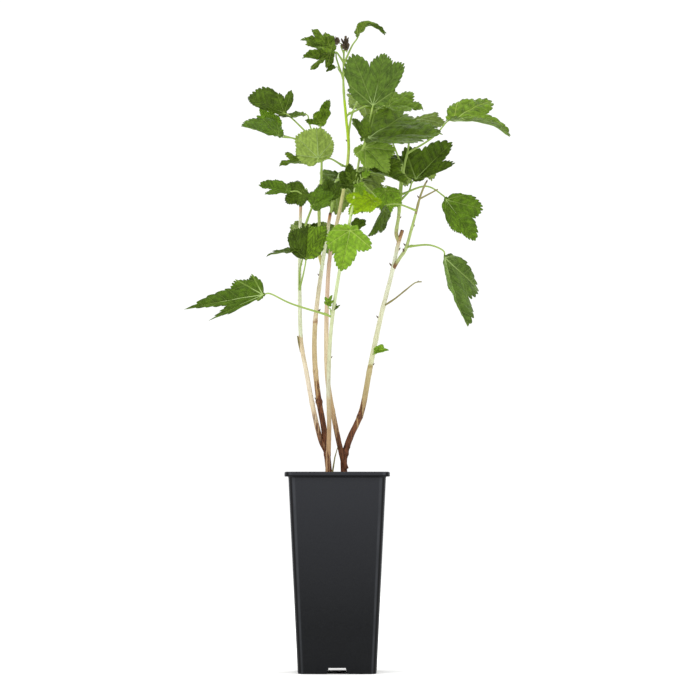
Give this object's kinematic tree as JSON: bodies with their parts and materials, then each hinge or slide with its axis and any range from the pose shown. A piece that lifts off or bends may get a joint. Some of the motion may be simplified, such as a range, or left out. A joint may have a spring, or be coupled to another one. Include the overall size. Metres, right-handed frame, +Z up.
{
  "type": "potted blackcurrant bush",
  "caption": "Young blackcurrant bush in a deep square black nursery pot, with upright canes, green shoots and lobed toothed leaves.",
  "frame": {"origin": "on the ground under the middle of the whole plant's bounding box; the pot's own axis is about 12 mm towards -X and 36 mm towards -Y of it", "axes": "+Z up, -Y towards the viewer of the picture, +X to that viewer's right"},
  "size_m": [0.3442, 0.2182, 0.6875],
  "materials": {
    "pot_plastic": "matte",
    "compost": "matte",
    "cane_bark": "matte",
    "green_shoot": "satin",
    "leaf": "satin"
  },
  "bodies": {
    "root": {"pot": "pot_plastic", "compost": "compost", "cane_brown": "cane_bark", "cane_left": "cane_bark", "cane_front": "green_shoot", "cane_right": "cane_bark", "cane_centre": "cane_bark", "shoot_upright": "green_shoot", "shoot_right": "green_shoot", "shoot_outer": "green_shoot", "leaf_low_left": "leaf", "leaf_left": "leaf", "spray_left": "leaf", "spray_upper_left": "leaf", "leaf_centre_left": "leaf", "spray_top": "leaf", "leaf_leader_right": "leaf", "spray_front_top": "leaf", "spray_right": "leaf", "leaf_right_hanging": "leaf", "spray_outer": "leaf", "leaf_cane_right": "leaf", "twig_right": "green_shoot", "spray_centre": "leaf", "leaf_front": "leaf", "leaf_front_dark": "leaf", "spray_back_left": "leaf", "spray_back_middle": "leaf", "spray_back_right": "leaf", "spray_back_top": "leaf"}
  },
  "joints": []
}
